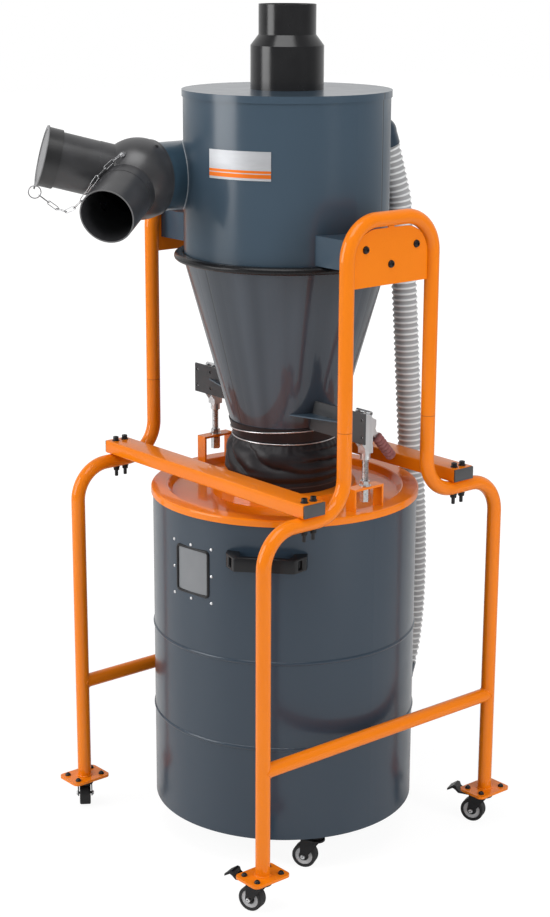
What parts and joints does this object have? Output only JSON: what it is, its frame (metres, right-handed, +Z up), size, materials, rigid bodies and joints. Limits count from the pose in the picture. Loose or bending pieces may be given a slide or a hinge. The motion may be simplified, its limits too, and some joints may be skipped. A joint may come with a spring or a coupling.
{
  "type": "mobile cyclone dust extraction unit",
  "caption": "Cyclone dust separator over a lidded drum in a bent tube frame on castors, with a branched inlet, toggle clamps for the drum lid and a balance hose.",
  "frame": {"origin": "on the floor under the axis of the cyclone", "axes": "+Z up, +X from the left side frame to the right one, -Y to the front where the inlet branches are"},
  "size_m": [0.7882, 0.9061, 1.904],
  "materials": {
    "steel_blue": "gloss",
    "plastic_black": "satin",
    "chain_steel": "bright",
    "ring_black": "gloss",
    "plate_grey": "satin",
    "zinc": "bright zinc",
    "grip_red": "satin",
    "sleeve_cloth": "coated cloth",
    "orange_paint": "gloss",
    "gasket_rubber": "satin",
    "window_clear": "clear",
    "hose_grey": "satin",
    "cap_grey": "satin",
    "castor_black": "gloss",
    "tyre": "satin"
  },
  "bodies": {
    "frame": {"cyclone_barrel": "steel_blue", "cyclone_lid": "steel_blue", "inlet_pipe": "steel_blue", "cone": "steel_blue", "cone_brackets": "steel_blue", "drum_shell": "steel_blue", "drum_base": "steel_blue", "hose_ports": "steel_blue", "mount_boxes": "steel_blue", "outlet_pipe": "plastic_black", "inlet_y_piece": "plastic_black", "branch_cap": "plastic_black", "grab_handle": "plastic_black", "cap_chain": "chain_steel", "clamp_ring": "ring_black", "clamp_plates": "plate_grey", "toggle_bodies": "zinc", "sleeve_bands": "zinc", "sleeve": "sleeve_cloth", "arch_left": "orange_paint", "arch_right": "orange_paint", "arch_plates": "orange_paint", "leg_front_left": "orange_paint", "leg_front_right": "orange_paint", "leg_rear_left": "orange_paint", "leg_rear_right": "orange_paint", "side_rails": "orange_paint", "foot_plates": "orange_paint", "beam_front": "orange_paint", "beam_rear": "orange_paint", "window_gasket": "gasket_rubber", "window_pane": "window_clear", "balance_hose": "hose_grey", "beam_caps": "cap_grey", "castor_heads": "castor_black", "drum_castor_heads": "castor_black"},
    "drum_cover": {"drum_lid": "orange_paint", "lid_brackets": "orange_paint", "toggle_rods": "zinc"},
    "handle_left": {"toggle_handle_left": "zinc", "toggle_grip_left": "grip_red"},
    "handle_right": {"toggle_handle_right": "zinc", "toggle_grip_right": "grip_red"},
    "castor_fork_front_left": {"castor_fork_front_left": "castor_black"},
    "castor_wheel_front_left": {"castor_wheel_front_left": "tyre"},
    "castor_fork_front_right": {"castor_fork_front_right": "castor_black"},
    "castor_wheel_front_right": {"castor_wheel_front_right": "tyre"},
    "castor_fork_rear_left": {"castor_fork_rear_left": "castor_black"},
    "castor_wheel_rear_left": {"castor_wheel_rear_left": "tyre"},
    "castor_fork_rear_right": {"castor_fork_rear_right": "castor_black"},
    "castor_wheel_rear_right": {"castor_wheel_rear_right": "tyre"},
    "drum_fork_a": {"drum_fork_a": "castor_black"},
    "drum_wheel_a": {"drum_wheel_a": "tyre"},
    "drum_fork_b": {"drum_fork_b": "castor_black"},
    "drum_wheel_b": {"drum_wheel_b": "tyre"},
    "drum_fork_c": {"drum_fork_c": "castor_black"},
    "drum_wheel_c": {"drum_wheel_c": "tyre"}
  },
  "joints": [
    {"name": "lid_lift", "type": "slide", "parent": "frame", "child": "drum_cover", "axis": [0, 0, 1], "range_m": [0, 0.025], "deforming": ["sleeve"]},
    {"name": "toggle_left", "type": "hinge", "parent": "frame", "child": "handle_left", "pos_m": [-0.255, 0.01, 1.042], "axis": [1, 0, 0], "range_deg": [0, 100]},
    {"name": "toggle_right", "type": "hinge", "parent": "frame", "child": "handle_right", "pos_m": [0.269, 0.01, 1.027], "axis": [1, 0, 0], "range_deg": [0, 100]},
    {"name": "castor_swivel_front_left", "type": "hinge", "parent": "frame", "child": "castor_fork_front_left", "pos_m": [-0.335, -0.345, 0.07], "axis": [0, 0, 1], "continuous": true},
    {"name": "castor_roll_front_left", "type": "hinge", "parent": "castor_fork_front_left", "child": "castor_wheel_front_left", "pos_m": [-0.3563, -0.33009, 0.028], "axis": [-0.5736, -0.8191, 0], "continuous": true},
    {"name": "castor_swivel_front_right", "type": "hinge", "parent": "frame", "child": "castor_fork_front_right", "pos_m": [0.335, -0.345, 0.07], "axis": [0, 0, 1], "continuous": true},
    {"name": "castor_roll_front_right", "type": "hinge", "parent": "castor_fork_front_right", "child": "castor_wheel_front_right", "pos_m": [0.31057, -0.35389, 0.028], "axis": [0.342, -0.9397, 0], "continuous": true},
    {"name": "castor_swivel_rear_left", "type": "hinge", "parent": "frame", "child": "castor_fork_rear_left", "pos_m": [-0.335, 0.345, 0.07], "axis": [0, 0, 1], "continuous": true},
    {"name": "castor_roll_rear_left", "type": "hinge", "parent": "castor_fork_rear_left", "child": "castor_wheel_rear_left", "pos_m": [-0.3563, 0.33009, 0.028], "axis": [0.5736, -0.8191, 0], "continuous": true},
    {"name": "castor_swivel_rear_right", "type": "hinge", "parent": "frame", "child": "castor_fork_rear_right", "pos_m": [0.335, 0.345, 0.07], "axis": [0, 0, 1], "continuous": true},
    {"name": "castor_roll_rear_right", "type": "hinge", "parent": "castor_fork_rear_right", "child": "castor_wheel_rear_right", "pos_m": [0.31144, 0.33401, 0.028], "axis": [0.4226, -0.9063, 0], "continuous": true},
    {"name": "drum_swivel_a", "type": "hinge", "parent": "frame", "child": "drum_fork_a", "pos_m": [0.25377, -0.11833, 0.07], "axis": [0, 0, 1], "continuous": true},
    {"name": "drum_roll_a", "type": "hinge", "parent": "drum_fork_a", "child": "drum_wheel_a", "pos_m": [0.23125, -0.13133, 0.028], "axis": [0.5, -0.866, 0], "continuous": true},
    {"name": "drum_swivel_b", "type": "hinge", "parent": "frame", "child": "drum_fork_b", "pos_m": [-0.0244, 0.27893, 0.07], "axis": [0, 0, 1], "continuous": true},
    {"name": "drum_roll_b", "type": "hinge", "parent": "drum_fork_b", "child": "drum_wheel_b", "pos_m": [-0.00189, 0.26593, 0.028], "axis": [0.5, 0.866, 0], "continuous": true},
    {"name": "drum_swivel_c", "type": "hinge", "parent": "frame", "child": "drum_fork_c", "pos_m": [-0.22936, -0.1606, 0.07], "axis": [0, 0, 1], "continuous": true},
    {"name": "drum_roll_c", "type": "hinge", "parent": "drum_fork_c", "child": "drum_wheel_c", "pos_m": [-0.22936, -0.1346, 0.028], "axis": [-1, 0, 0], "continuous": true}
  ],
  "couplings": [
    {"joint": "toggle_left", "follows": "lid_lift", "rad_per_m": 69.8},
    {"joint": "toggle_right", "follows": "lid_lift", "rad_per_m": 69.8}
  ]
}
